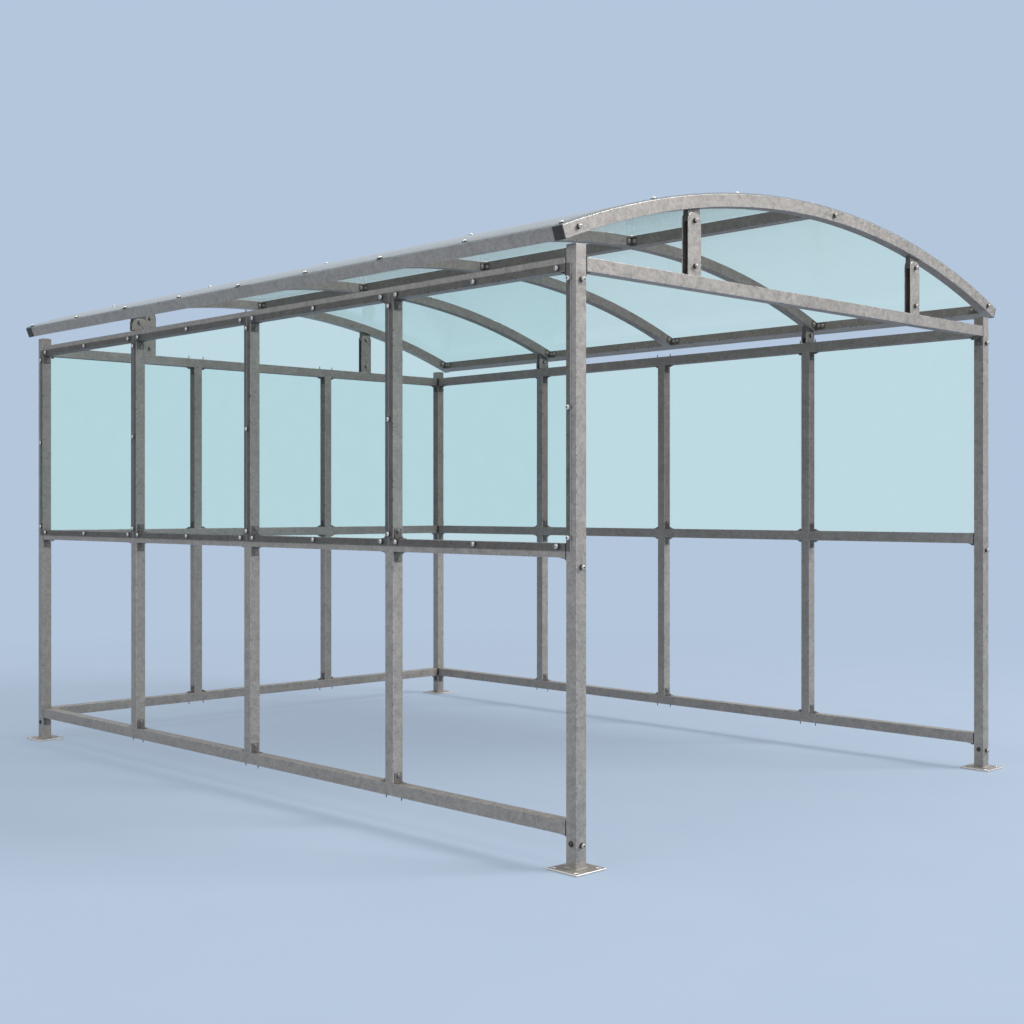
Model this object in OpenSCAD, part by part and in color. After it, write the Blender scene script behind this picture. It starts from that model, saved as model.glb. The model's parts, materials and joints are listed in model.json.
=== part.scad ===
// Open-fronted smoking shelter: a box-section steel frame with an arched sheet roof.
// Millimetres. +Z up, ground at Z = 0, open gable towards -Y, closed end towards +Y.

/* [Overall sizes] */
// Length along Y over the outer faces of the corner posts
body_l = 4050; // [3450:50:4650]
// Width along X over the outer faces of the corner posts
body_w = 2900; // [2450:50:3350]
// Height of the flat tops of the corner posts
post_h = 2185; // [2035:10:2435]
// Rise of the roof arches from their ends to the crown, on the centre line
arch_rise = 285; // [240:5:380]
// How far the roof arches reach past the outer face of the walls
eaves_out = 60; // [55:5:100]

/* [Frame tubes] */
// Side of every square frame tube
tube = 50; // [45:1:55]
// Wall thickness of the frame tubes
tube_wall = 3; // [2:0.5:4]
// Clear height under the bottom rails
bottom_gap = 121; // [80:1:180]
// Height of the underside of the mid rails
mid_rail_z = 1090; // [950:10:1200]
// How far the corner posts stand above the top rails
post_over = 44; // [42:1:60]
// Clear height between the post tops and the gable arches
arch_lift = 25; // [16:1:30]

/* [Base plates] */
// Side of the square base plates
plate_side = 150; // [140:5:180]
// Thickness of the base plates
plate_t = 8; // [6:1:12]
// Distance between the anchor holes in a base plate
anchor_pitch = 112; // [104:1:116]
// Diameter of the anchor holes
anchor_d = 14; // [12:1:18]

/* [Sheets] */
// Thickness of the wall and roof sheets
sheet_t = 5; // [3:0.5:8]
// How far the wall sheets lap onto the top and mid rails
sheet_lap = 27; // [20:1:32]
// Joint between one sheet and the next
sheet_joint = 3; // [1:0.5:8]
// How far the roof sheets stay back from the outer faces of the gable arches
roof_setback = 3; // [0:1:10]

/* [Plastic plugs and caps] */
// Thickness of the plugs between the rail ends and the posts
plug_t = 5; // [3:0.5:8]
// Thickness of the caps on the gable arch ends and posts
cap_t = 4; // [2:0.5:6]

/* [Stays and cleats] */
// Distance of the gable stays from the centre line
stay_x = 790; // [600:10:950]
// Width of the gable stays
stay_w = 78; // [60:1:90]
// Depth of the gable stays and eaves stubs
stay_d = 32; // [26:1:40]
// Plate thickness of the stays, stubs and their tabs
stay_t = 4; // [3:0.5:6]
// Gap left between a stay or stub and the arch above it
stay_gap = 8; // [4:1:14]
// Length of the cleat leg on a rail
cleat_leg = 32; // [26:1:36]
// Length of the cleat leg on a post
cleat_h = 42; // [34:1:50]
// Thickness of the angle cleats
cleat_t = 3; // [2:0.5:5]
// Width of the angle cleats
cleat_w = 36; // [28:1:40]
// Length of the long leg of the roof cleats, along the eaves beams
roof_cleat_leg = 58; // [44:1:70]

/* [Roof fixings] */
// Diameter of the washers under the roof bolts
washer_d = 22; // [16:1:30]
// Height of the roof bolt heads
head_h = 6; // [4:0.5:8]

/* [Hidden] */

smooth = 96;
arch_smooth = 1440;
half = tube / 2;
hl = body_l / 2;
hw = body_w / 2;
side_bays = 4;
back_bays = 3;
post_x = hw - half;
post_y = hl - half;
bay_l = (body_l - tube) / side_bays;
bay_w = (body_w - tube) / back_bays;
post_rows = [for (i = [1 : side_bays - 1]) -post_y + i * bay_l];
post_cols = [for (i = [1 : back_bays - 1]) -post_x + i * bay_w];
top_rail_z = post_h - post_over - tube;
rail_zs = [bottom_gap, mid_rail_z, top_rail_z];
rail_l = body_l - 2 * tube - 2 * plug_t;
rail_w = body_w - 2 * tube - 2 * plug_t;
lower_h = mid_rail_z - bottom_gap - tube;
upper_h = top_rail_z - mid_rail_z - tube;

// Arch geometry: one circle, seen along Y
arch_half = hw + eaves_out;
arch_r = (arch_half * arch_half + arch_rise * arch_rise) / (2 * arch_rise);
arch_in = arch_r - half;
arch_out = arch_r + half;
arch_a = asin(arch_half / arch_r);
arch_cz = post_h + arch_lift - sqrt(arch_in * arch_in - hw * hw);
reach = 2 * arch_out;
rib_rows = post_rows;
arch_rows = concat([-post_y], rib_rows, [post_y]);
washer_t = 2;
washer_bore = 7;
head_d = 15;
shank_d = 6;

// Height of the arch underside over a given X
function under_z(x) = arch_cz + sqrt(arch_in * arch_in - x * x);

steel = [0.60, 0.59, 0.57];
plastic = [0.12, 0.12, 0.12];
teal = [0.62, 0.84, 0.85, 0.35];

// Square tube along Z, standing on its origin
module tube_z(h) {
    difference() {
        translate([-half, -half, 0]) cube([tube, tube, h]);
        translate([-half + tube_wall, -half + tube_wall, -1])
            cube([tube - 2 * tube_wall, tube - 2 * tube_wall, h + 2]);
    }
}

module tube_x(l) { translate([-l / 2, 0, half]) rotate([0, 90, 0]) tube_z(l); }

module tube_y(l) { translate([0, l / 2, half]) rotate([90, 0, 0]) tube_z(l); }

module side_rail(side, z) { translate([side * post_x, 0, z]) tube_y(rail_l); }

module back_rail(z) { translate([0, post_y, z]) tube_x(rail_w); }

module base_plate() {
    hole = anchor_pitch / 2;
    difference() {
        translate([-plate_side / 2, -plate_side / 2, 0]) cube([plate_side, plate_side, plate_t]);
        for (sx = [-1, 1], sy = [-1, 1])
            translate([sx * hole, sy * hole, -1]) cylinder(h = plate_t + 2, d = anchor_d, $fn = smooth);
    }
}

module corner_post(sx, sy) {
    translate([sx * post_x, sy * post_y, plate_t]) tube_z(post_h - plate_t - cap_t);
}

module base_plates() {
    color(steel) for (sx = [-1, 1], sy = [-1, 1]) translate([sx * post_x, sy * post_y, 0]) base_plate();
}

module post_front_left() { color(steel) corner_post(-1, -1); }
module post_front_right() { color(steel) corner_post(1, -1); }
module post_back_left() { color(steel) corner_post(-1, 1); }
module post_back_right() { color(steel) corner_post(1, 1); }

module post_caps() {
    color(steel) for (sx = [-1, 1], sy = [-1, 1])
        translate([sx * post_x - half, sy * post_y - half, post_h - cap_t]) cube([tube, tube, cap_t]);
}

module left_bottom_rail() { color(steel) side_rail(-1, bottom_gap); }
module left_mid_rail() { color(steel) side_rail(-1, mid_rail_z); }
module left_top_rail() { color(steel) side_rail(-1, top_rail_z); }
module right_bottom_rail() { color(steel) side_rail(1, bottom_gap); }
module right_mid_rail() { color(steel) side_rail(1, mid_rail_z); }
module right_top_rail() { color(steel) side_rail(1, top_rail_z); }
module back_bottom_rail() { color(steel) back_rail(bottom_gap); }
module back_mid_rail() { color(steel) back_rail(mid_rail_z); }
module back_top_rail() { color(steel) back_rail(top_rail_z); }
module front_top_rail() { color(steel) translate([0, -post_y, top_rail_z]) tube_x(rail_w); }

// Flanged plugs that close the rail ends against the corner posts
module rail_end_plugs() {
    color(plastic) {
        for (sx = [-1, 1], sy = [-1, 1], z = rail_zs)
            translate([sx * post_x - half, sy * (hl - tube - plug_t / 2) - plug_t / 2, z])
                cube([tube, plug_t, tube]);
        for (sx = [-1, 1], z = rail_zs)
            translate([sx * (hw - tube - plug_t / 2) - plug_t / 2, post_y - half, z])
                cube([plug_t, tube, tube]);
        for (sx = [-1, 1])
            translate([sx * (hw - tube - plug_t / 2) - plug_t / 2, -post_y - half, top_rail_z])
                cube([plug_t, tube, tube]);
    }
}

module side_posts(side, z, h) {
    for (y = post_rows) translate([side * post_x, y, z]) tube_z(h);
}

module back_posts(z, h) {
    for (x = post_cols) translate([x, post_y, z]) tube_z(h);
}

module left_lower_posts() { color(steel) side_posts(-1, bottom_gap + tube, lower_h); }
module left_upper_posts() { color(steel) side_posts(-1, mid_rail_z + tube, upper_h); }
module right_lower_posts() { color(steel) side_posts(1, bottom_gap + tube, lower_h); }
module right_upper_posts() { color(steel) side_posts(1, mid_rail_z + tube, upper_h); }
module back_lower_posts() { color(steel) back_posts(bottom_gap + tube, lower_h); }
module back_upper_posts() { color(steel) back_posts(mid_rail_z + tube, upper_h); }

// Angle cleat in the corner between a rail (level) and a post (upright), opening towards +Y and +Z
module cleat() {
    translate([-cleat_w / 2, 0, 0]) cube([cleat_w, cleat_leg, cleat_t]);
    translate([-cleat_w / 2, 0, 0]) cube([cleat_w, cleat_t, cleat_h]);
}

// The pair of cleats at one end of an intermediate post; up = 1 on a rail, -1 under it
module cleat_pair(up) {
    for (s = [-1, 1]) scale([1, s, up]) translate([0, half, 0]) cleat();
}

module post_end_cleats() {
    cleat_z = [[bottom_gap + tube, 1], [mid_rail_z, -1], [mid_rail_z + tube, 1], [top_rail_z, -1]];
    for (c = cleat_z) translate([0, 0, c[0]]) cleat_pair(c[1]);
}

module post_cleats() {
    color(steel) {
        for (side = [-1, 1], y = post_rows) translate([side * post_x, y, 0]) post_end_cleats();
        for (x = post_cols) translate([x, post_y, 0]) rotate([0, 0, 90]) post_end_cleats();
    }
}

// Cleats under the rail ends at the corner posts
module rail_end_cleats() {
    color(steel) {
        for (sx = [-1, 1], sy = [-1, 1], z = rail_zs)
            translate([sx * post_x, sy * (hl - tube), z]) scale([1, -sy, -1]) cleat();
        for (sx = [-1, 1], z = rail_zs)
            translate([sx * (hw - tube), post_y, z]) scale([-sx, 1, -1]) rotate([0, 0, -90]) cleat();
        for (sx = [-1, 1])
            translate([sx * (hw - tube), -post_y, top_rail_z])
                scale([-sx, 1, -1]) rotate([0, 0, -90]) cleat();
    }
}

// Ring between two radii in the XZ plane, kept between the end planes of the roof.
// inset moves each end plane in from the arch ends, measured square to it.
module arch_profile(r_in, r_out, inset) {
    apex = arch_cz + inset / sin(arch_a);
    translate([0, arch_cz]) difference() {
        intersection() {
            difference() {
                circle(r = r_out, $fn = arch_smooth);
                circle(r = r_in, $fn = arch_smooth);
            }
            translate([0, apex - arch_cz])
                polygon([[0, 0], [-reach * sin(arch_a), reach * cos(arch_a)],
                    [reach * sin(arch_a), reach * cos(arch_a)]]);
        }
    }
}

// The profile given a length along Y, centred on y
module arch_bar(r_in, r_out, inset, y, l) {
    translate([0, y + l / 2, 0]) rotate([90, 0, 0]) linear_extrude(height = l)
        arch_profile(r_in, r_out, inset);
}

module arch_tube(y, inset) {
    difference() {
        arch_bar(arch_in, arch_out, inset, y, tube);
        arch_bar(arch_in + tube_wall, arch_out - tube_wall, inset - tube_wall, y, tube - 2 * tube_wall);
    }
}

module front_arch() { color(steel) arch_tube(-post_y, 0); }
module back_arch() { color(steel) arch_tube(post_y, 0); }
module inner_arches() { color(steel) for (y = rib_rows) arch_tube(y, tube); }

// Places a piece on an arch end plane: X along the arch outwards, Z square to the arch
module at_end(side) {
    translate([0, 0, arch_cz]) scale([side, 1, 1]) rotate([0, arch_a, 0])
        translate([0, 0, arch_r]) children();
}

module arch_end_caps() {
    color(plastic) for (side = [-1, 1], y = [-post_y, post_y])
        at_end(side) translate([0, y - half, -half]) cube([cap_t, tube, tube]);
}

// The flat tops of the beams and purlin sit just under the curved sheets
module eaves_beam(side) {
    drop = arch_out - sqrt(arch_out * arch_out - tube * tube);
    at_end(side) translate([-half, 0, -half - drop]) tube_y(body_l - 2 * tube);
}

module left_eaves_beam() { color(steel) eaves_beam(-1); }
module right_eaves_beam() { color(steel) eaves_beam(1); }

module crown_purlin() {
    drop = arch_out - sqrt(arch_out * arch_out - half * half);
    color(steel) for (i = [0 : side_bays - 1]) {
        y = -post_y + (i + 0.5) * bay_l;
        translate([0, y, arch_cz + arch_r - half - drop]) tube_y(bay_l - tube);
    }
}

// Angle with two upright legs, a long one along +X and a short one along +Y
module upright_cleat(long_leg, short_leg) {
    translate([0, 0, -cleat_w / 2]) cube([long_leg, cleat_t, cleat_w]);
    translate([0, 0, -cleat_w / 2]) cube([cleat_t, short_leg, cleat_w]);
}

module purlin_cleats() {
    purlin_mid = arch_cz + arch_r - 1;
    color(steel) for (i = [0 : side_bays - 1], e = [-1, 1], sx = [-1, 1])
        translate([0, -post_y + (i + 0.5) * bay_l + e * (bay_l / 2 - half), purlin_mid])
            scale([sx, -e, 1]) translate([half, 0, 0]) upright_cleat(cleat_leg, cleat_leg);
}

// One cleat in the corner between each arch and each eaves beam. The faces of the
// inner arches that carry them look towards the open gable.
roof_cleat_rows = concat([[-post_y + half, 1]], [for (y = rib_rows) [y - half, -1]], [[post_y - half, -1]]);

module rib_cleats() {
    color(steel) for (side = [-1, 1], r = roof_cleat_rows)
        at_end(side) translate([-tube, r[0], 0]) scale([-1, r[1], 1]) rotate([0, 0, 90])
            scale([1, -1, 1]) upright_cleat(roof_cleat_leg, cleat_h);
}

// Upright plate outline with rounded top corners, X across
module round_top(w, h) {
    r = w / 3;
    union() {
        translate([-w / 2, 0]) square([w, h - r]);
        translate([-w / 2 + r, h - r]) square([w - 2 * r, r]);
        for (s = [-1, 1]) translate([s * (w / 2 - r), h - r]) circle(r = r, $fn = smooth);
    }
}

// Channel standing on its origin, web on its +X side, round-cornered flanges facing +Y and -Y
module channel(w, d, h) {
    difference() {
        translate([0, d / 2, 0]) rotate([90, 0, 0]) linear_extrude(height = d) round_top(w, h);
        translate([-w / 2 - 1, -d / 2 + stay_t, -1]) cube([w - stay_t + 1, d - 2 * stay_t, h + 2]);
    }
}

rail_top = top_rail_z + tube;
stay_top = under_z(stay_x + stay_w / 2) - stay_gap;
stay_h = stay_top - rail_top;
stub_top = under_z(post_x + stay_w / 2) - stay_gap / 2;
stub_h = stub_top - rail_top;
tab_grip = 34;

module gable_stays() {
    color(steel) for (sx = [-1, 1], sy = [-1, 1])
        translate([sx * stay_x, sy * post_y, rail_top]) channel(stay_w, stay_d, stay_h);
}

// Upside-down tray between the flanges of a stay, its top cut to the curve of the arch underside
module tab(x, top) {
    w = stay_w - 2 * stay_t;
    d = stay_d - 2 * stay_t;
    low = under_z(abs(x) + w / 2);
    difference() {
        translate([x - w / 2, -d / 2, top - tab_grip]) cube([w, d, tab_grip + tube]);
        translate([x - w / 2 + stay_t, -d / 2 + stay_t, top - tab_grip - 1])
            cube([w - 2 * stay_t, d - 2 * stay_t, low - stay_t - top + tab_grip + 1]);
        translate([0, d / 2 + 1, arch_cz]) rotate([90, 0, 0]) difference() {
            cylinder(h = d + 2, r = arch_out, $fn = arch_smooth);
            translate([0, 0, -1]) cylinder(h = d + 4, r = arch_in, $fn = arch_smooth);
        }
        translate([-reach, -d, arch_cz + arch_r]) cube([2 * reach, 2 * d, reach]);
    }
}

module gable_stay_tabs() {
    color(steel) for (sx = [-1, 1], sy = [-1, 1])
        translate([0, sy * post_y, 0]) tab(sx * stay_x, stay_top);
}

stub_spots = [[-1, post_rows[2]], [1, post_rows[0]], [1, post_rows[2]]];

module eaves_stubs() {
    color(steel) for (p = stub_spots)
        translate([p[0] * post_x, p[1], rail_top]) channel(stay_w, stay_d, stub_h);
}

module eaves_stub_tabs() {
    color(steel) for (p = stub_spots)
        translate([0, p[1], 0]) tab(p[0] * post_x, stub_top);
}

// Wall sheets, one a bay, on the outer faces of the frame
sheet_z = mid_rail_z + tube - sheet_lap;
sheet_h = top_rail_z + sheet_lap - sheet_z;

module side_sheets(side) {
    for (i = [0 : side_bays - 1])
        translate([side * (hw + sheet_t / 2) - sheet_t / 2, -post_y + i * bay_l + sheet_joint / 2, sheet_z])
            cube([sheet_t, bay_l - sheet_joint, sheet_h]);
}

module left_wall_sheets() { color(teal) side_sheets(-1); }
module right_wall_sheets() { color(teal) side_sheets(1); }

module back_wall_sheets() {
    color(teal) for (i = [0 : back_bays - 1])
        translate([-post_x + i * bay_w + sheet_joint / 2, hl, sheet_z])
            cube([bay_w - sheet_joint, sheet_t, sheet_h]);
}

module roof_sheets() {
    joint_rows = concat([-hl + roof_setback - sheet_joint / 2], rib_rows, [hl - roof_setback + sheet_joint / 2]);
    color(teal) for (i = [0 : side_bays - 1])
        arch_bar(arch_out, arch_out + sheet_t, 0, (joint_rows[i] + joint_rows[i + 1]) / 2,
            joint_rows[i + 1] - joint_rows[i] - sheet_joint);
}

// Roof fixings: along every arch, and along both eaves in the middle of each bay
arch_bolt_angles = [for (k = [-3 : 3]) k * (arch_a - asin(half / arch_out)) / 3];
mid_bay_rows = [for (i = [0 : side_bays - 1]) -post_y + (i + 0.5) * bay_l];

module at_fixings() {
    for (a = arch_bolt_angles) {
        for (y = arch_rows) translate([0, y, arch_cz]) rotate([0, a, 0])
            translate([0, 0, arch_out + sheet_t]) children();
    }
    for (s = [-1, 1], y = mid_bay_rows)
        translate([0, y, arch_cz]) rotate([0, s * arch_bolt_angles[6], 0])
            translate([0, 0, arch_out + sheet_t]) children();
}

module roof_washers() {
    color(plastic) at_fixings() difference() {
        cylinder(h = washer_t, d = washer_d, $fn = smooth);
        translate([0, 0, -1]) cylinder(h = washer_t + 2, d = washer_bore, $fn = smooth);
    }
}

module roof_bolts() {
    color(steel) at_fixings() translate([0, 0, washer_t]) union() {
        cylinder(h = head_h / 2, d = head_d, $fn = smooth);
        translate([0, 0, head_h / 2]) cylinder(h = head_h / 2, d1 = head_d, d2 = head_d * 0.6, $fn = smooth);
    }
}

base_plates();
post_front_left();
post_front_right();
post_back_left();
post_back_right();
post_caps();
left_bottom_rail();
left_mid_rail();
left_top_rail();
right_bottom_rail();
right_mid_rail();
right_top_rail();
back_bottom_rail();
back_mid_rail();
back_top_rail();
front_top_rail();
rail_end_plugs();
left_lower_posts();
left_upper_posts();
right_lower_posts();
right_upper_posts();
back_lower_posts();
back_upper_posts();
post_cleats();
rail_end_cleats();
front_arch();
back_arch();
inner_arches();
arch_end_caps();
left_eaves_beam();
right_eaves_beam();
crown_purlin();
purlin_cleats();
rib_cleats();
gable_stays();
gable_stay_tabs();
eaves_stubs();
eaves_stub_tabs();
left_wall_sheets();
right_wall_sheets();
back_wall_sheets();
roof_sheets();
roof_washers();
roof_bolts();
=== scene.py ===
"""Looks of the smoking shelter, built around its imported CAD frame. Metres, +Z up, open gable towards -Y."""
import json
import math

import bmesh
import bpy
import numpy as np
from mathutils import Matrix, Vector


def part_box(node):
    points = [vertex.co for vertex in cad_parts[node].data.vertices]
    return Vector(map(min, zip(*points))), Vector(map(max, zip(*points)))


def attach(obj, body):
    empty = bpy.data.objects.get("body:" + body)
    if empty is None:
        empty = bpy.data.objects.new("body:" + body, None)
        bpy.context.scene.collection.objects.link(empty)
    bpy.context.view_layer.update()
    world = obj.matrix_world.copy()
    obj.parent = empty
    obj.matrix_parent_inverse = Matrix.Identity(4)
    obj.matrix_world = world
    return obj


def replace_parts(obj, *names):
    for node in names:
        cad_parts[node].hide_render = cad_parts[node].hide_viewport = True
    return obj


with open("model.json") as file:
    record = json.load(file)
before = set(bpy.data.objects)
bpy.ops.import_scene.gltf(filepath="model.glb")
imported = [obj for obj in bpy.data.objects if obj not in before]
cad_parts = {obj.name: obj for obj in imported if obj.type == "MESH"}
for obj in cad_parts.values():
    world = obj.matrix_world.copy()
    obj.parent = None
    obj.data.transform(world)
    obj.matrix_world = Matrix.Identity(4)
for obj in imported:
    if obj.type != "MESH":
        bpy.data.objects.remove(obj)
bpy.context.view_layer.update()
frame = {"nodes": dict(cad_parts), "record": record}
NODES = frame["nodes"]

# --- Sizes that the frame's own boxes don't give ---------------------------------------------
TUBE = 0.050                # side of the square frame tubes
EDGE_ROUND = 0.0028         # outer corner radius of rolled tube and folded plate
PLATE_ROUND = 0.0028        # rounded edge of a base plate, which carries a painted highlight
SMALL_ROUND = 0.0008        # edges of cleats, black end caps and plugs
SHEET_ROUND = 0.0006        # sawn edge of a sheet
CLEAT_T = 0.003             # plate of the cleats, under their screw heads
CLEAT_REACH = 0.021         # from a tube's face to the screw in a rail end or purlin cleat's leg
GABLE_BOLT_X = 0.13         # the one bolt seen beside the crown of the front arch
CAMERA_SPOT = (-5.1166, -5.5042, 1.2686)
CAMERA_HEADING = 43.97      # degrees from +Y towards +X, level
CAMERA_LENS = 51.215        # mm on a 36 mm wide sensor
HORIZON_SHIFT = -5.33 / 1024        # share of the frame that the level camera's horizon is moved by

# --- Colours, linear ------------------------------------------------------------------------
BACKDROP = (0.456, 0.565, 0.716, 1)
MIRRORED_BACKDROP = (0.50, 0.55, 0.62, 1)
PANE_BACKDROP = (0.575, 0.722, 0.792, 1)
STUDIO = (1.0, 0.985, 0.965, 1)
STUDIO_LOW = (0.62, 0.64, 0.66)          # fill light from below the horizon
STUDIO_STRENGTH = 0.42
FLOOR_BOUNCE = (0.50, 0.54, 0.60, 1)
FLOOR_DARK = (0.48, 0.586, 0.732, 1)
FLOOR_LIGHT = (0.50, 0.603, 0.745, 1)
SHEET_TINT = (0.905, 0.970, 0.965, 1)    # through both faces of a sheet
SHEET_DUSTY = (0.885, 0.955, 0.950, 1)
FROSTED_EDGE_HIGHLIGHT = (0.80, 0.89, 0.90, 1)       # sawn edges, frosted, and painted pale as a highlight along them
FROSTED_EDGE_HIGHLIGHT_DULL = (0.62, 0.72, 0.74, 1)
WALL_SHADE = (0.670, 0.655, 0.655, 1)    # what each face lets through to pieces behind it
ROOF_SHADE = (0.565, 0.590, 0.585, 1)


# ============================================================================================
# Node helpers
# ============================================================================================
class Tree:
    """A material's or world's node tree, with short calls to add and join nodes."""

    def __init__(self, owner):
        owner.use_nodes = True
        self.nodes = owner.node_tree.nodes
        self.links = owner.node_tree.links
        self.nodes.clear()

    def add(self, kind, inputs=None, **settings):
        node = self.nodes.new("ShaderNode" + kind)
        for key, value in settings.items():
            setattr(node, key, value)
        for key, value in (inputs or {}).items():
            self.put(node.inputs[key], value)
        return node

    def put(self, socket, value):
        if isinstance(value, bpy.types.NodeSocket):
            self.links.new(value, socket)
        else:
            socket.default_value = value

    def math(self, operation, a, b=0.0, c=0.0):
        node = self.add("Math", operation=operation)
        for socket, value in zip(node.inputs, (a, b, c)):
            self.put(socket, value)
        return node.outputs[0]

    def ramp(self, factor, *stops):
        node = self.add("ValToRGB", {"Fac": factor})
        elements = node.color_ramp.elements
        for i, (place, colour) in enumerate(stops):
            element = elements[i] if i < len(elements) else elements.new(place)
            element.position = place
            element.color = colour if len(colour) == 4 else (*colour, 1)
        return node.outputs["Color"]

    def remap(self, value, low, high, to_low, to_high):
        return self.add("MapRange", {"Value": value, "From Min": low, "From Max": high,
                                     "To Min": to_low, "To Max": to_high}).outputs["Result"]

    def mix(self, factor, a, b):
        node = self.add("Mix", data_type="RGBA")
        for index, value in ((0, factor), (6, a), (7, b)):
            self.put(node.inputs[index], value)
        return node.outputs[2]

    def noise(self, vector, scale, detail=2.0, roughness=0.5):
        return self.add("TexNoise", {"Vector": vector, "Scale": scale, "Detail": detail,
                                     "Roughness": roughness}).outputs["Fac"]

    def place(self):
        """The point in the part's own frame: every piece's object sits at the origin."""
        return self.add("TexCoord").outputs["Object"]

    def bump(self, height, strength, distance):
        return self.add("Bump", {"Height": height, "Strength": strength,
                                 "Distance": distance}).outputs["Normal"]

    def surface(self, shader):
        self.add("OutputMaterial", {"Surface": shader})


def new_material(name):
    material = bpy.data.materials.new(name)
    return material, Tree(material)


# ============================================================================================
# Materials
# ============================================================================================
def galvanised_steel(name, dark, light, metallic=0.55, rough=(0.36, 0.60), bump=0.30):
    """Hot-dip zinc: feathery spangle, cloudy patches, fine sandy grain and a few pale runs."""
    material, t = new_material(name)
    point = t.place()
    wander = t.add("TexNoise", {"Vector": point, "Scale": 42.0, "Detail": 2.0}).outputs["Color"]
    bent = t.add("VectorMath", {0: wander, 1: (0.012, 0.012, 0.012), 2: point},
                 operation="MULTIPLY_ADD").outputs["Vector"]
    flakes = t.add("TexVoronoi", {"Vector": bent, "Scale": 95.0}, feature="F1")
    flake = t.add("SeparateColor", {"Color": flakes.outputs["Color"]}).outputs[0]
    coarse = t.add("TexVoronoi", {"Vector": bent, "Scale": 38.0}, feature="F1")
    crystal = t.add("SeparateColor", {"Color": coarse.outputs["Color"]}).outputs[1]
    clouds = t.noise(point, 7.0, 4.0, 0.6)
    patches = t.noise(point, 26.0, 5.0, 0.65)
    sand = t.noise(point, 150.0, 3.0, 0.7)
    grain = t.noise(point, 520.0, 3.0, 0.6)
    tone = t.math("MULTIPLY_ADD", flake, 0.16, t.math("MULTIPLY", crystal, 0.08))
    tone = t.math("MULTIPLY_ADD", clouds, 0.20, tone)
    tone = t.math("MULTIPLY_ADD", patches, 0.24, tone)
    tone = t.math("MULTIPLY_ADD", sand, 0.44, tone)
    tone = t.math("MULTIPLY_ADD", grain, 0.26, tone)
    colour = t.ramp(tone, (0.50, dark), (0.86, light))
    runs = t.ramp(t.noise(point, 15.0, 6.0, 0.7), (0.60, (0, 0, 0)), (0.74, (1, 1, 1)))
    pale = tuple(min(1.0, 1.22 * c) for c in light) + (1,)
    colour = t.mix(t.math("MULTIPLY", runs, 0.38), colour, pale)
    scuffs = t.ramp(t.noise(point, 60.0, 8.0, 0.75), (0.33, (1, 1, 1)), (0.42, (0, 0, 0)))
    colour = t.mix(t.math("MULTIPLY", scuffs, 0.30), colour, tuple(0.55 * c for c in dark) + (1,))
    roughness = t.remap(t.math("MULTIPLY_ADD", flake, 0.5, t.math("MULTIPLY", patches, 0.5)),
                        0.1, 0.8, *rough)
    height = t.math("MULTIPLY_ADD", flake, 0.35, t.math("MULTIPLY_ADD", grain, 0.5, patches))
    normal = t.bump(height, bump, 0.0008)
    shader = t.add("BsdfPrincipled", {"Base Color": colour, "Roughness": roughness,
                                      "Metallic": metallic, "Normal": normal})
    t.surface(shader.outputs[0])
    return material


def black_plastic(name):
    """Moulded plugs and caps: near-black, fine leathery texture, rubbed and dusty in places."""
    material, t = new_material(name)
    point = t.place()
    dust = t.noise(point, 40.0, 5.0, 0.7)
    colour = t.ramp(dust, (0.40, (0.020, 0.020, 0.019)), (0.80, (0.060, 0.058, 0.055)))
    pits = t.add("TexVoronoi", {"Vector": point, "Scale": 900.0}, feature="F1").outputs["Distance"]
    shader = t.add("BsdfPrincipled", {
        "Base Color": colour, "Roughness": t.remap(dust, 0.3, 0.7, 0.40, 0.62),
        "Normal": t.bump(pits, 0.25, 0.0004)})
    t.surface(shader.outputs[0])
    return material


def black_rubber(name):
    material, t = new_material(name)
    point = t.place()
    bloom = t.noise(point, 120.0, 4.0, 0.6)
    colour = t.ramp(bloom, (0.35, (0.016, 0.016, 0.016)), (0.75, (0.045, 0.044, 0.042)))
    shader = t.add("BsdfPrincipled", {
        "Base Color": colour, "Roughness": t.remap(bloom, 0.3, 0.7, 0.62, 0.85),
        "Normal": t.bump(bloom, 0.2, 0.0003)})
    t.surface(shader.outputs[0])
    return material


def bright_zinc(name, dark, light, rough):
    """Plated bolts and screws: bright, with dull handling marks."""
    material, t = new_material(name)
    point = t.place()
    marks = t.noise(point, 300.0, 4.0, 0.65)
    colour = t.ramp(marks, (0.30, dark), (0.70, light))
    shader = t.add("BsdfPrincipled", {
        "Base Color": colour, "Metallic": 0.65, "Roughness": t.remap(marks, 0.3, 0.7, *rough),
        "Normal": t.bump(marks, 0.15, 0.0002)})
    t.surface(shader.outputs[0])
    return material


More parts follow.
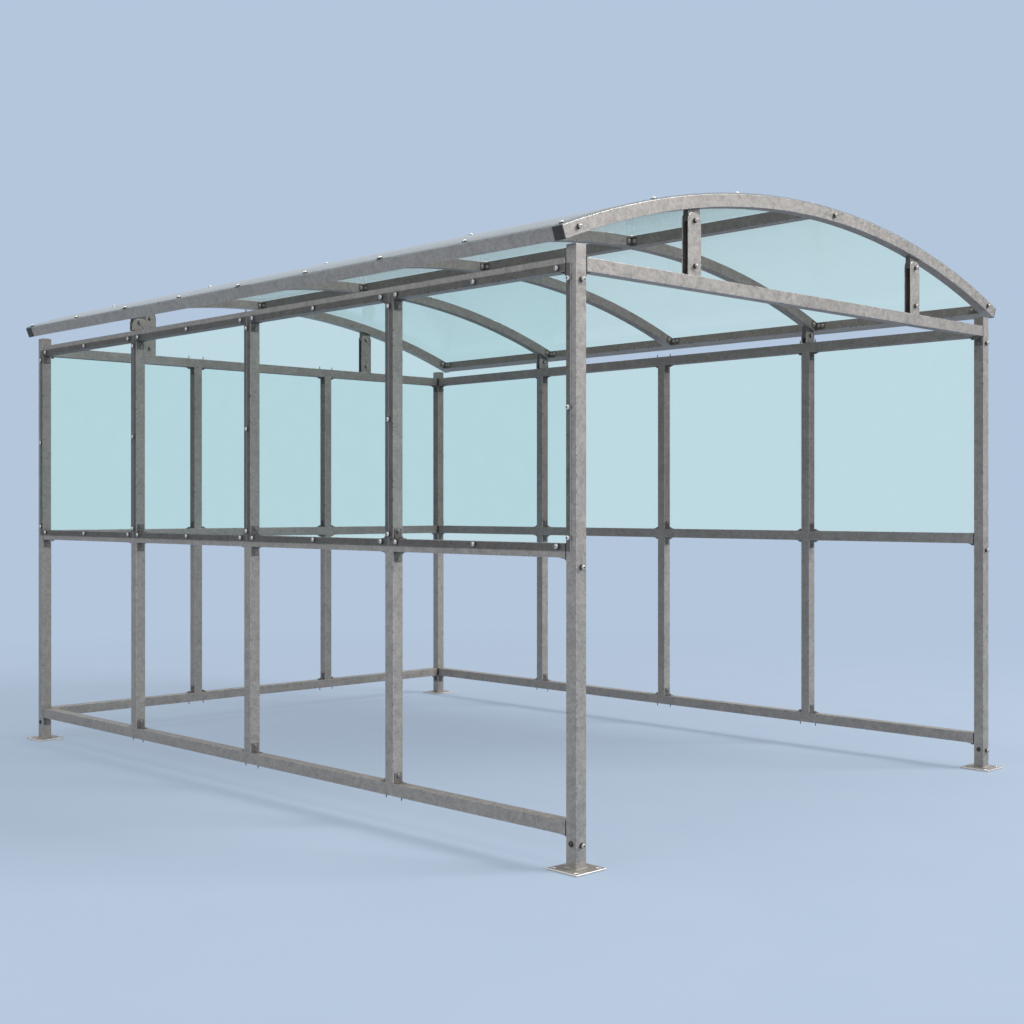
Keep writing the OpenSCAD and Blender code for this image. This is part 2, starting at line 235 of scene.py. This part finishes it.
def clear_sheet(name, shade, axis, pane_faces_axis):
    """Tinted polycarbonate: a faint film of dust on a clear pane, and frosted sawn edges with a painted
    highlight: pale and opaque. The edges are the faces along the named axis, or else those off it.
    Light that falls on other pieces, or that they mirror, goes straight through, shaded."""
    material, t = new_material(name)
    film = t.noise(t.place(), 9.0, 6.0, 0.7)
    tint = t.mix(t.remap(film, 0.35, 0.75, 0.0, 1.0), SHEET_TINT, SHEET_DUSTY)
    pane = t.add("BsdfPrincipled", {"Base Color": tint, "Roughness": 0.0,
                                    "Transmission Weight": 1.0, "IOR": 1.08})
    # frosted sawn edges, and a painted highlight: pale and opaque
    sawn = t.mix(t.noise(t.place(), 400.0, 3.0), FROSTED_EDGE_HIGHLIGHT, FROSTED_EDGE_HIGHLIGHT_DULL)
    edge = t.add("BsdfPrincipled", {"Base Color": sawn, "Roughness": 0.35})
    normal = t.add("SeparateXYZ", {0: t.add("NewGeometry").outputs["True Normal"]}).outputs[axis]
    along = t.math("GREATER_THAN", t.math("ABSOLUTE", normal), 0.5)
    is_edge = t.math("SUBTRACT", 1.0, along) if pane_faces_axis else along
    seen = t.add("MixShader", {0: is_edge, 1: pane.outputs[0], 2: edge.outputs[0]})
    path = t.add("LightPath").outputs
    not_through = t.math("SUBTRACT", 1.0, path["Is Transmission Ray"])
    mirrored = t.math("MULTIPLY", path["Is Glossy Ray"], not_through)
    lighting = t.math("MAXIMUM", path["Is Shadow Ray"], path["Is Diffuse Ray"])
    lighting = t.math("MAXIMUM", lighting, mirrored)
    clear = t.add("BsdfTransparent", {"Color": shade})
    both = t.add("MixShader", {0: lighting, 1: seen.outputs[0], 2: clear.outputs[0]})
    t.surface(both.outputs[0])
    return material


STEEL = galvanised_steel("galvanised_steel", (0.262, 0.245, 0.227), (0.460, 0.431, 0.400))
# painted highlight: a lighter, shinier copy of the zinc for the narrow faces of rounded tube edges
EDGE_HIGHLIGHT_STEEL = galvanised_steel("galvanised_edge_highlight", (0.36, 0.34, 0.32), (0.58, 0.555, 0.53),
                              0.85, (0.24, 0.36))
# painted highlight: near-white zinc on the rounded rim of the base plates
RIM_HIGHLIGHT_STEEL = galvanised_steel("galvanised_rim_highlight", (0.80, 0.79, 0.77), (0.96, 0.95, 0.93),
                             0.35, (0.26, 0.40))
# painted shade: a darker copy of the zinc for cleats and tabs, which sit under and between the tubes
CLEAT_STEEL_PAINTED_SHADE = galvanised_steel("galvanised_plate_shaded", (0.120, 0.112, 0.102), (0.25, 0.234, 0.215),
                               bump=0.4)
PLASTIC = black_plastic("black_plastic")
RUBBER = black_rubber("black_rubber")
SIDE_SHEET = clear_sheet("clear_sheet_side", WALL_SHADE, "X", True)
END_SHEET = clear_sheet("clear_sheet_end", WALL_SHADE, "Y", True)
ROOF_SHEET = clear_sheet("clear_sheet_roof", ROOF_SHADE, "Y", False)
BOLT = bright_zinc("bright_zinc", (0.62, 0.61, 0.59), (0.86, 0.85, 0.83), (0.22, 0.40))
WORN_BOLT = bright_zinc("worn_zinc", (0.40, 0.39, 0.37), (0.66, 0.64, 0.61), (0.30, 0.50))
COLLAR_STEEL = bright_zinc("collar_zinc", (0.060, 0.055, 0.048), (0.130, 0.120, 0.105), (0.40, 0.60))
# painted shade: near-black for the inside of the bolt sockets
SOCKET_PAINTED_SHADE = bright_zinc("socket_shadow", (0.030, 0.029, 0.028), (0.060, 0.058, 0.055), (0.5, 0.7))
NUT = bright_zinc("dull_zinc", (0.16, 0.155, 0.15), (0.33, 0.32, 0.31), (0.35, 0.55))

SLOT_MATERIALS = {"galvanised_steel": STEEL, "black_plastic": PLASTIC, "black_rubber": RUBBER,
                  "bolt_zinc": BOLT}
PLATE_NODES = ("post_cleats", "rail_end_cleats", "rib_cleats", "purlin_cleats",
               "gable_stay_tabs", "eaves_stub_tabs")
SHEET_NODES = {"left_wall_sheets": SIDE_SHEET, "right_wall_sheets": SIDE_SHEET,
               "back_wall_sheets": END_SHEET, "roof_sheets": ROOF_SHEET}


# ============================================================================================
# CAD nodes: better materials, and rounded edges by modifiers
# ============================================================================================
def node_slot(name):
    for row in frame["record"]["subparts"]:
        if row["node"] == name:
            return row["material_slot"]
    return "galvanised_steel"


def round_edges(piece, width, segments=2, painted_highlight_material=None, clamp=True):
    """Rounds the sharp edges without touching the mesh: welds, merges flat faces, bevels.
    The narrow faces of the rounded edges can have a material of their own, a lighter zinc as a painted
    highlight."""
    weld = piece.modifiers.new("weld", "WELD")
    weld.merge_threshold = 1e-5
    flat = piece.modifiers.new("flat", "DECIMATE")
    flat.decimate_type = "DISSOLVE"
    flat.angle_limit = math.radians(0.05)
    bevel = piece.modifiers.new("bevel", "BEVEL")
    bevel.width = width
    bevel.segments = segments
    bevel.limit_method = "ANGLE"
    bevel.angle_limit = math.radians(40)
    bevel.use_clamp_overlap = clamp
    if painted_highlight_material:
        piece.data.materials.append(painted_highlight_material)
        bevel.material = 1
    normals = piece.modifiers.new("normals", "WEIGHTED_NORMAL")
    normals.keep_sharp = False
    normals.weight = 100


for name, piece in NODES.items():
    finish_name = node_slot(name)
    material = SHEET_NODES.get(name) or SLOT_MATERIALS[finish_name]
    if name in PLATE_NODES:
        material = CLEAT_STEEL_PAINTED_SHADE
    piece.data.materials.clear()
    piece.data.materials.append(material)
    if name in SHEET_NODES:
        round_edges(piece, SHEET_ROUND, 1)
    elif name == "base_plates":
        round_edges(piece, PLATE_ROUND, painted_highlight_material=RIM_HIGHLIGHT_STEEL, clamp=False)
    elif name in PLATE_NODES or finish_name in ("black_plastic", "black_rubber", "bolt_zinc"):
        round_edges(piece, SMALL_ROUND)
    else:
        round_edges(piece, EDGE_ROUND, painted_highlight_material=EDGE_HIGHLIGHT_STEEL)


# ============================================================================================
# Reading places off the frame
# ============================================================================================
def solids(node):
    """(lowest, highest) corner of each separate solid in a CAD node, in the order of its mesh."""
    mesh = NODES[node].data
    points = [tuple(round(c * 1e5) for c in v.co) for v in mesh.vertices]
    parent = {p: p for p in points}

    def root(p):
        while parent[p] != p:
            parent[p] = parent[parent[p]]
            p = parent[p]
        return p

    for polygon in mesh.polygons:
        first = root(points[polygon.vertices[0]])
        for i in polygon.vertices[1:]:
            other = root(points[i])
            if other != first:
                parent[other] = first
    groups = {}
    for i, p in enumerate(points):
        groups.setdefault(root(p), []).append(mesh.vertices[i].co)
    return [(Vector(map(min, zip(*g))), Vector(map(max, zip(*g)))) for g in groups.values()]


def middle(pair):
    return (pair[0] + pair[1]) / 2


def roof_circle():
    """(outer radius, centre height, end angle) of the roof arches, from the front arch's box."""
    low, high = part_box("front_arch")
    reach, drop = high.x, high.z - low.z
    a, b = 0.05, 1.2            # radians, below and above the end angle
    for _ in range(50):
        angle = (a + b) / 2
        got = reach * math.tan(angle / 2) + TUBE * math.cos(angle)
        a, b = (angle, b) if got < drop else (a, angle)
    radius = reach / math.sin(angle)
    return radius, high.z - radius, angle


ROOF_R, ROOF_Z, ROOF_ANGLE = roof_circle()


def roof_point(side, inwards, y):
    """A point on an arch tube's middle line, by its distance in from the tube's end, with the
    direction outwards along the roof there."""
    up = Vector((side * math.sin(ROOF_ANGLE), 0, math.cos(ROOF_ANGLE)))
    along = Vector((side * math.cos(ROOF_ANGLE), 0, -math.sin(ROOF_ANGLE)))
    return Vector((0, y, ROOF_Z)) + up * (ROOF_R - TUBE / 2) - along * inwards, along


# ============================================================================================
# Turned fixings: bolts, nuts, washers and screws
# ============================================================================================
def ring_row(reach, angles, height):
    return np.stack([reach * np.cos(angles), reach * np.sin(angles), np.full(len(angles), height)], 1)


def skinned(rows, sides):
    """Mesh arrays over rows of points, one above the other, with both ends closed."""
    faces = [list(range(sides))[::-1]]
    for r in range(len(rows) - 1):
        for i in range(sides):
            j = (i + 1) % sides
            faces.append([r * sides + i, r * sides + j, (r + 1) * sides + j, (r + 1) * sides + i])
    faces.append([(len(rows) - 1) * sides + i for i in range(sides)])
    return np.concatenate(rows), faces


def turned(rings, sides):
    """Mesh arrays of a piece turned on +Z. A ring is (height, radius) or (height, radius, corners):
    with corners the radius is to a flat and the outline a polygon."""
    angles = np.arange(sides) * 2 * math.pi / sides
    rows = []
    for ring in rings:
        height, radius = ring[:2]
        reach = np.full(sides, radius)
        if len(ring) > 2:
            wedge = 2 * math.pi / ring[2]
            reach = radius / np.cos((angles + wedge / 2) % wedge - wedge / 2)
        rows.append(ring_row(reach, angles, height))
    return skinned(rows, sides)


def threaded(length, radius, depth, pitch, point_length=0.0, sides=12):
    """Mesh arrays of a threaded end along +Z, with a real helix, and a drawn-out point if asked."""
    steps, point_rows = 4, 4    # rows a turn of thread, and rows down the point
    blunt = 0.06                # share of the radius left at the end of the point
    count = int((length - point_length) / pitch * steps) + 1
    heights = list(np.arange(count) * pitch / steps)
    if point_length:
        heights += [heights[-1] + point_length * k / point_rows for k in range(1, point_rows + 1)]
    angles = np.arange(sides) * 2 * math.pi / sides
    rows = []
    for k, height in enumerate(heights):
        turn = (height / pitch - angles / (2 * math.pi)) % 1.0
        reach = radius - depth * np.abs(2 * turn - 1)
        if k >= count:
            reach = reach * max(blunt, 1 - (height - heights[count - 1]) / point_length)
        rows.append(ring_row(reach, angles, height))
    return skinned(rows, sides)


def make_piece(name, points, faces, material, sharp=38, inner=None):
    """inner is (material, faces in one copy, faces of its recess, which come last in it)."""
    mesh = bpy.data.meshes.new(name)
    mesh.from_pydata([tuple(p) for p in points], [], faces)
    mesh.materials.append(material)
    if inner:
        mesh.materials.append(inner[0])
        place = np.arange(len(faces)) % inner[1]
        mesh.polygons.foreach_set("material_index", (place >= inner[1] - inner[2]).astype(np.int32))
    mesh.update()
    mesh.shade_smooth()
    mesh.set_sharp_from_angle(angle=math.radians(sharp))
    piece = bpy.data.objects.new(name, mesh)
    bpy.context.scene.collection.objects.link(piece)
    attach(piece, "root")
    return piece


SPIN = np.random.default_rng(11)


def set_out(name, shape, places, material, recess=0):
    """One piece made of the same shape at many places, each (point, direction, lift off it).
    The last recess faces of each copy are dark with painted shade, as a socket's shaded inside looks."""
    base, faces = shape
    all_points, all_faces = [], []
    for point, direction, lift in places:
        axis = Vector(direction).normalized()
        turn = axis.to_track_quat("Z", "Y").to_matrix() @ Matrix.Rotation(SPIN.uniform(0, 6.28), 3, "Z")
        start = sum(len(p) for p in all_points)
        moved = base @ np.array(turn).T + np.array(Vector(point) + axis * lift)
        all_points.append(moved)
        all_faces += [[start + i for i in face] for face in faces]
    inner = (SOCKET_PAINTED_SHADE, len(faces), recess) if recess else None
    return make_piece(name, np.concatenate(all_points), all_faces, material, inner=inner)


WASHER_H = 0.002
RUBBER_WASHER = turned([(0, 0.0106), (0.0005, 0.0110), (0.0014, 0.0110), (WASHER_H, 0.0102),
                        (WASHER_H, 0.0040)], 24)
BUTTON_HEAD = turned([(0, 0.0092), (0.0008, 0.0095), (0.0014, 0.0091), (0.0015, 0.0080),
                      (0.0032, 0.0078), (0.0046, 0.0069), (0.0056, 0.0054), (0.0060, 0.0040),
                      (0.0058, 0.0031, 6), (0.0022, 0.0029, 6)], 24)
BUTTON_RECESS = 25          # faces of the socket's wall and floor, the last in the head
COLLAR_H = 0.0095
COLLAR = turned([(0, 0.0098), (0.0012, 0.0102), (0.0022, 0.0098), (0.0024, 0.0086),
                 (COLLAR_H - 0.0006, 0.0084), (COLLAR_H, 0.0078)], 24)
HEX_HEAD = turned([(0, 0.0092), (0.0005, 0.0096), (0.0015, 0.0096), (0.0018, 0.0092),
                   (0.0019, 0.0064, 6), (0.0064, 0.0064, 6), (0.0071, 0.0058), (0.0072, 0.0030)], 24)
HEX_NUT = turned([(0, 0.0088), (0.0015, 0.0088), (0.0016, 0.0062), (0.0021, 0.0064, 6),
                  (0.0078, 0.0064, 6), (0.0084, 0.0058), (0.0084, 0.0041)], 24)
BOLT_END = threaded(0.0135, 0.0040, 0.0005, 0.00125)
SCREW_TIP = threaded(0.0215, 0.0031, 0.0007, 0.0018, point_length=0.009)


def wall_sheet_places():
    """Where the wall sheets are fixed: up every post, along the top rail and along the mid rail."""
    above_foot, below_top = 0.047, 0.053        # end fixings up a post, from the sheet's edges
    on_mid_rail, on_top_rail = 0.017, 0.012     # rows along the rails, from the sheet's edges
    beside_post = 0.047                         # pairs along the rails, either side of a post
    corner_inset, corner_next = 0.035, 0.092    # from the outside of the corner posts
    places = []
    walls = (("left_wall_sheets", "left_upper_posts", 0, -1),
             ("right_wall_sheets", "right_upper_posts", 0, 1),
             ("back_wall_sheets", "back_upper_posts", 1, 1))
    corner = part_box("post_front_right")
    for sheets, posts, face_axis, side in walls:
        low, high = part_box(sheets)
        face = high[face_axis] if side > 0 else low[face_axis]
        run_axis = 1 - face_axis
        outer = corner[1].x if run_axis == 0 else -corner[0].y
        rows = sorted(middle(s)[run_axis] for s in solids(posts))
        edges = [-outer + TUBE / 2] + rows + [outer - TUBE / 2]
        spots = []
        for z in (low.z + above_foot, (low.z + high.z) / 2, high.z - below_top):
            spots += [(row, z) for row in rows] + [(e * (outer - corner_inset), z) for e in (-1, 1)]
        for z in (low.z + on_mid_rail, high.z - on_top_rail):
            spots += [(row + d, z) for row in rows for d in (-beside_post, beside_post)]
            spots += [((a + b) / 2, z) for a, b in zip(edges, edges[1:])]
            spots += [(e * (outer - corner_next), z) for e in (-1, 1)]
        for along, z in spots:
            point = Vector((face, along, z)) if face_axis == 0 else Vector((along, face, z))
            direction = Vector((side, 0, 0)) if face_axis == 0 else Vector((0, side, 0))
            places.append((point, direction))
    return places


def roof_sheet_places():
    places = []
    for pair in solids("roof_washers"):
        centre = middle(pair)
        up = Vector((centre.x, 0, centre.z - ROOF_Z)).normalized()
        places.append((centre - up * WASHER_H / 2, up))
    return places


def post_cleat_places():
    """Screw heads on the cleats' two legs, and where screw points come out of the rails."""
    along_rail, up_post = 0.048, 0.030      # screws from the post's middle line and from its end
    rail_heads, post_heads, points = [], [], []
    for posts, axis in (("left", 1), ("right", 1), ("back", 0)):
        run = Vector((0, 1, 0)) if axis == 1 else Vector((1, 0, 0))
        for level in ("lower", "upper"):
            for low, high in solids(f"{posts}_{level}_posts"):
                centre = (low + high) / 2
                for side in (-1, 1):
                    for z, up in ((low.z, 1), (high.z, -1)):
                        foot = Vector((centre.x, centre.y, z)) + run * side * along_rail
                        rail_heads.append((foot, Vector((0, 0, up)), CLEAT_T))
                        leg = Vector((centre.x, centre.y, z + up * up_post)) + run * side * TUBE / 2
                        post_heads.append((leg, run * side, CLEAT_T))
                        if (level == "lower") == (up > 0):
                            points.append((foot, Vector((0, 0, -up)), TUBE))
    return rail_heads, post_heads, points


def corner_places():
    """Bolts at the corner posts: on collars outside, on the rail end cleats inside, plain at the foot."""
    below_rail, above_ground = 0.032, 0.095
    outside, inside, plain = [], [], []
    rails = [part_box(f"left_{level}_rail")[0].z for level in ("bottom", "mid", "top")]
    sheet_low, sheet_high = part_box("back_wall_sheets")
    for end in ("front", "back"):
        for hand in ("left", "right"):
            low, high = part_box(f"post_{end}_{hand}")
            centre = (low + high) / 2
            sy, sx = (-1 if end == "front" else 1), (-1 if hand == "left" else 1)
            for z in rails:
                height = z - below_rail
                covered = end == "back" and sheet_low.z < height < sheet_high.z
                face = sheet_high.y if covered else sy * max(abs(low.y), abs(high.y))
                outside.append((Vector((centre.x, face, height)), Vector((0, sy, 0))))
                inside.append((Vector((centre.x, sy * (abs(centre.y) - TUBE / 2), height)),
                               Vector((0, -sy, 0)), CLEAT_T))
                inside.append((Vector((centre.x, sy * (abs(centre.y) - TUBE / 2 - CLEAT_REACH), z)),
                               Vector((0, 0, -1)), CLEAT_T))
                if end == "back" or z == rails[-1]:
                    inside.append((Vector((sx * (abs(centre.x) - TUBE / 2), centre.y, height)),
                                   Vector((-sx, 0, 0)), CLEAT_T))
                    inside.append((Vector((sx * (abs(centre.x) - TUBE / 2 - CLEAT_REACH), centre.y, z)),
                                   Vector((0, 0, -1)), CLEAT_T))
            for side in (-1, 1):
                plain.append((Vector((centre.x + side * TUBE / 2, centre.y, above_ground)),
                              Vector((side, 0, 0))))
    return outside, inside, plain


def roof_frame_places():
    """Bolts on the roof cleats, and where those through an arch come out on its other face."""
    along_beam = (0.019, 0.045)             # the two screws in a rib cleat's long leg
    along_rib, along_purlin = 0.025, 0.020
    heads, through = [], []
    front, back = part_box("front_arch"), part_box("back_arch")
    arches = [(front, 1)] + [(pair, -1) for pair in solids("inner_arches")] + [(back, -1)]
    for (low, high), way in arches:
        face = high.y if way > 0 else low.y
        for side in (-1, 1):
            for reach in along_beam:
                point, along = roof_point(side, TUBE, face + way * reach)
                heads.append((point, -along, CLEAT_T))
            point, along = roof_point(side, TUBE + along_rib, face)
            heads.append((point, Vector((0, way, 0)), CLEAT_T))
            point, along = roof_point(side, TUBE + along_rib, low.y + high.y - face)
            through.append((point, Vector((0, -way, 0))))
    for low, high in solids("purlin_cleats"):
        centre = middle((low, high))
        side = 1 if centre.x > 0 else -1
        nearest = min(arches, key=lambda a: abs(middle(a[0]).y - centre.y))[0]
        way = 1 if centre.y > middle(nearest).y else -1
        face = nearest[1].y if way > 0 else nearest[0].y
        heads.append((Vector((side * TUBE / 2, face + way * CLEAT_REACH, centre.z)),
                      Vector((side, 0, 0)), CLEAT_T))
        heads.append((Vector((side * (TUBE / 2 + along_purlin), face, centre.z)),
                      Vector((0, way, 0)), CLEAT_T))
    drop = math.sqrt((ROOF_R - TUBE / 2) ** 2 - GABLE_BOLT_X ** 2)
    through.append((Vector((GABLE_BOLT_X, front[0].y, ROOF_Z + drop)), Vector((0, -1, 0))))
    return heads, through


def stay_places():
    """Two bolts through each stay, near its top and its foot, and one near the top of each stub."""
    stay_foot, stay_head, stub_head = 0.038, 0.030, 0.020
    outside, inside = [], []
    for node in ("gable_stays", "eaves_stubs"):
        for low, high in solids(node):
            centre = (low + high) / 2
            spots = (high.z - stub_head,)
            if node == "gable_stays":
                spots = (low.z + stay_foot, high.z - stay_head)
            for z in spots:
                outside.append((Vector((centre.x, low.y, z)), Vector((0, -1, 0))))
                inside.append((Vector((centre.x, high.y, z)), Vector((0, 1, 0)), 0))
    return outside, inside


def weld_beads():
    """Rippled fillet weld round the foot of every corner post."""
    points, faces = [], []
    sides, step, bead = 6, 0.0016, 0.0036
    ripple, waver = 0.0007, 0.0003      # short and long changes of the bead's size along it
    lift = 0.2                          # share of its size that the bead stands off by
    corners = ((-1, -1), (1, -1), (1, 1), (-1, 1))
    for end in ("front", "back"):
        for hand in ("left", "right"):
            low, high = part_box(f"post_{end}_{hand}")
            centre, half = middle((low, high)), TUBE / 2
            track = []
            for (ax, ay), (bx, by) in zip(corners, corners[1:] + corners[:1]):
                count = int(2 * half / step)
                for k in range(count):
                    share = k / count
                    track.append((ax + (bx - ax) * share, ay + (by - ay) * share))
            start = len(points)
            for k, (u, v) in enumerate(track):
                size = bead + ripple * math.sin(k * 1.9) + waver * math.sin(k * 0.37)
                for j in range(sides):
                    angle = 2 * math.pi * j / sides
                    away = half + size * lift + size * math.cos(angle)
                    corner = max(abs(u), abs(v))
                    x, y = u / corner * away, v / corner * away
                    z = low.z + size * lift + size * math.sin(angle)
                    points.append((centre.x + x, centre.y + y, z))
            total = len(track)
            for k in range(total):
                for j in range(sides):
                    a, b = start + k * sides, start + (k + 1) % total * sides
                    faces.append([a + j, b + j, b + (j + 1) % sides, a + (j + 1) % sides])
    return make_piece("foot_welds", points, faces, STEEL, sharp=60)


def lifted(places, lift):
    return [(point, direction, lift) for point, direction in places]


def build_fixings():
    walls, roof = wall_sheet_places(), roof_sheet_places()
    set_out("wall_sheet_washers", RUBBER_WASHER, lifted(walls, 0), RUBBER)
    set_out("wall_sheet_bolts", BUTTON_HEAD, lifted(walls, WASHER_H), BOLT, BUTTON_RECESS)
    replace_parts(set_out("roof_sheet_washers", RUBBER_WASHER, lifted(roof, 0), RUBBER),
                "roof_washers")
    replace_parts(set_out("roof_sheet_bolts", BUTTON_HEAD, lifted(roof, WASHER_H), BOLT,
                        BUTTON_RECESS), "roof_bolts")
    rail_heads, post_heads, points = post_cleat_places()
    outside, inside, plain = corner_places()
    roof_heads, roof_through = roof_frame_places()
    stay_out, stay_in = stay_places()
    collared = outside + roof_through + stay_out
    set_out("frame_bolt_collars", COLLAR, lifted(collared, 0), COLLAR_STEEL)
    set_out("frame_bolts", BUTTON_HEAD, lifted(collared, COLLAR_H), WORN_BOLT, BUTTON_RECESS)
    set_out("post_cleat_screws", HEX_HEAD, rail_heads + post_heads, NUT)
    set_out("post_cleat_screw_points", SCREW_TIP, points, NUT)
    set_out("corner_cleat_screws", HEX_HEAD, inside, NUT)
    set_out("corner_post_washers", RUBBER_WASHER, lifted(plain, 0), RUBBER)
    set_out("corner_post_bolts", BUTTON_HEAD, lifted(plain, WASHER_H), COLLAR_STEEL,
            BUTTON_RECESS)
    set_out("roof_cleat_bolts", HEX_HEAD, roof_heads, WORN_BOLT)
    set_out("stay_nuts", HEX_NUT, stay_in, NUT)
    set_out("stay_bolt_ends", BOLT_END, stay_in, NUT)
    weld_beads()


build_fixings()


# ============================================================================================
# Stage: floor, world, lamps and camera
# ============================================================================================
def seen_ray(t):
    """Two sockets: 1 for rays that show the background, which come from the camera, are mirrored
    or pass through a pane, and 1 for only those through a pane."""
    path = t.add("LightPath").outputs
    seen = t.math("MAXIMUM", path["Is Camera Ray"], path["Is Glossy Ray"])
    return t.math("MAXIMUM", seen, path["Is Transmission Ray"]), path["Is Transmission Ray"]


def build_world():
    world = bpy.data.worlds.new("studio")
    bpy.context.scene.world = world
    t = Tree(world)
    seen, through = seen_ray(t)
    up = t.add("SeparateXYZ", {0: t.add("TexCoord").outputs["Generated"]}).outputs["Z"]
    mirrored = t.mix(t.remap(up, 0.30, 0.75, 0.0, 1.0), MIRRORED_BACKDROP, (1, 1, 1, 1))
    shown = t.mix(t.add("LightPath").outputs["Is Glossy Ray"], BACKDROP, mirrored)
    shown = t.mix(through, shown, PANE_BACKDROP)
    fill = t.ramp(t.remap(up, -1.0, 1.0, 0.0, 1.0), (0.35, STUDIO_LOW), (0.80, STUDIO))
    light = t.add("Background", {"Color": fill, "Strength": STUDIO_STRENGTH})
    view = t.add("Background", {"Color": shown, "Strength": 1.0})
    both = t.add("MixShader", {0: seen, 1: light.outputs[0], 2: view.outputs[0]})
    t.add("OutputWorld", {"Surface": both.outputs[0]})


def floor_material():
    """Pale floor that holds a soft shadow near the object and runs into the backdrop far off."""
    material, t = new_material("floor")
    point = t.add("TexCoord").outputs["Object"]
    away = t.add("VectorMath", {0: point}, operation="LENGTH").outputs["Value"]
    fade_from, fade_to, floor_share = 2.5, 8.0, 0.50
    near = t.remap(away, fade_from, fade_to, floor_share, 0.0)
    speck = t.noise(point, 2.2, 3.0, 0.5)
    tone = t.mix(t.remap(speck, 0.35, 0.65, 0.0, 1.0), FLOOR_DARK, FLOOR_LIGHT)
    seen, through = seen_ray(t)
    shown = t.mix(through, BACKDROP, PANE_BACKDROP)
    plain = t.add("BsdfDiffuse", {"Color": tone})
    glow = t.add("Emission", {"Color": shown, "Strength": 1.0})
    mixed = t.add("MixShader", {0: near, 1: glow.outputs[0], 2: plain.outputs[0]})
    bounce = t.add("BsdfDiffuse", {"Color": FLOOR_BOUNCE})
    both = t.add("MixShader", {0: seen, 1: bounce.outputs[0], 2: mixed.outputs[0]})
    t.surface(both.outputs[0])
    return material


def build_floor():
    mesh = bpy.data.meshes.new("floor")
    half_side, cells, below_feet = 60.0, 24, 0.0005
    bm = bmesh.new()
    bmesh.ops.create_grid(bm, x_segments=cells, y_segments=cells, size=half_side)
    bm.to_mesh(mesh)
    bm.free()
    floor = bpy.data.objects.new("floor", mesh)
    floor.location.z = -below_feet
    bpy.context.scene.collection.objects.link(floor)
    mesh.materials.append(floor_material())


def all_but_sheets():
    """What the lamps light: a clear sheet mirrors the studio, but no lamp as a hard white patch."""
    group = bpy.data.collections.new("not_lit_by_lamps")
    for name in SHEET_NODES:
        group.objects.link(NODES[name])
    for row in group.collection_objects:
        row.light_linking.link_state = "EXCLUDE"
    return group


def soft_lamp(name, spot, aim, size, watts, colour, lit):
    data = bpy.data.lights.new(name, "AREA")
    data.shape, data.size, data.size_y = "RECTANGLE", size[0], size[1]
    data.energy, data.color = watts, colour
    lamp = bpy.data.objects.new(name, data)
    bpy.context.scene.collection.objects.link(lamp)
    lamp.location = spot
    lamp.rotation_euler = (Vector(aim) - Vector(spot)).to_track_quat("-Z", "Y").to_euler()
    lamp.light_linking.receiver_collection = lit


def build_lamps():
    centre, lit = (0.0, 0.0, 1.2), all_but_sheets()
    soft_lamp("key", (8.0, -12.2, 12.3), centre, (7.0, 7.0), 2430, (1.0, 0.985, 0.970), lit)
    soft_lamp("top", (-1.0, 0.5, 15.0), centre, (12.0, 12.0), 460, (1.0, 1.0, 1.0), lit)
    soft_lamp("front", (2.5, -16.0, 1.6), centre, (7.0, 4.0), 200, (1.0, 0.99, 0.98), lit)
    soft_lamp("side", (-13.0, -2.0, 6.0), centre, (6.0, 6.0), 345, (1.0, 0.99, 0.98), lit)


def build_camera():
    data = bpy.data.cameras.new("camera")
    data.sensor_width, data.lens, data.shift_y = 36.0, CAMERA_LENS, HORIZON_SHIFT
    data.clip_start, data.clip_end = 0.1, 200.0
    camera = bpy.data.objects.new("camera", data)
    camera.location = CAMERA_SPOT
    camera.rotation_euler = (math.radians(90), 0.0, math.radians(-CAMERA_HEADING))
    bpy.context.scene.collection.objects.link(camera)
    bpy.context.scene.camera = camera


build_world()
build_floor()
build_lamps()
build_camera()
bpy.context.scene.view_settings.view_transform = "Standard"
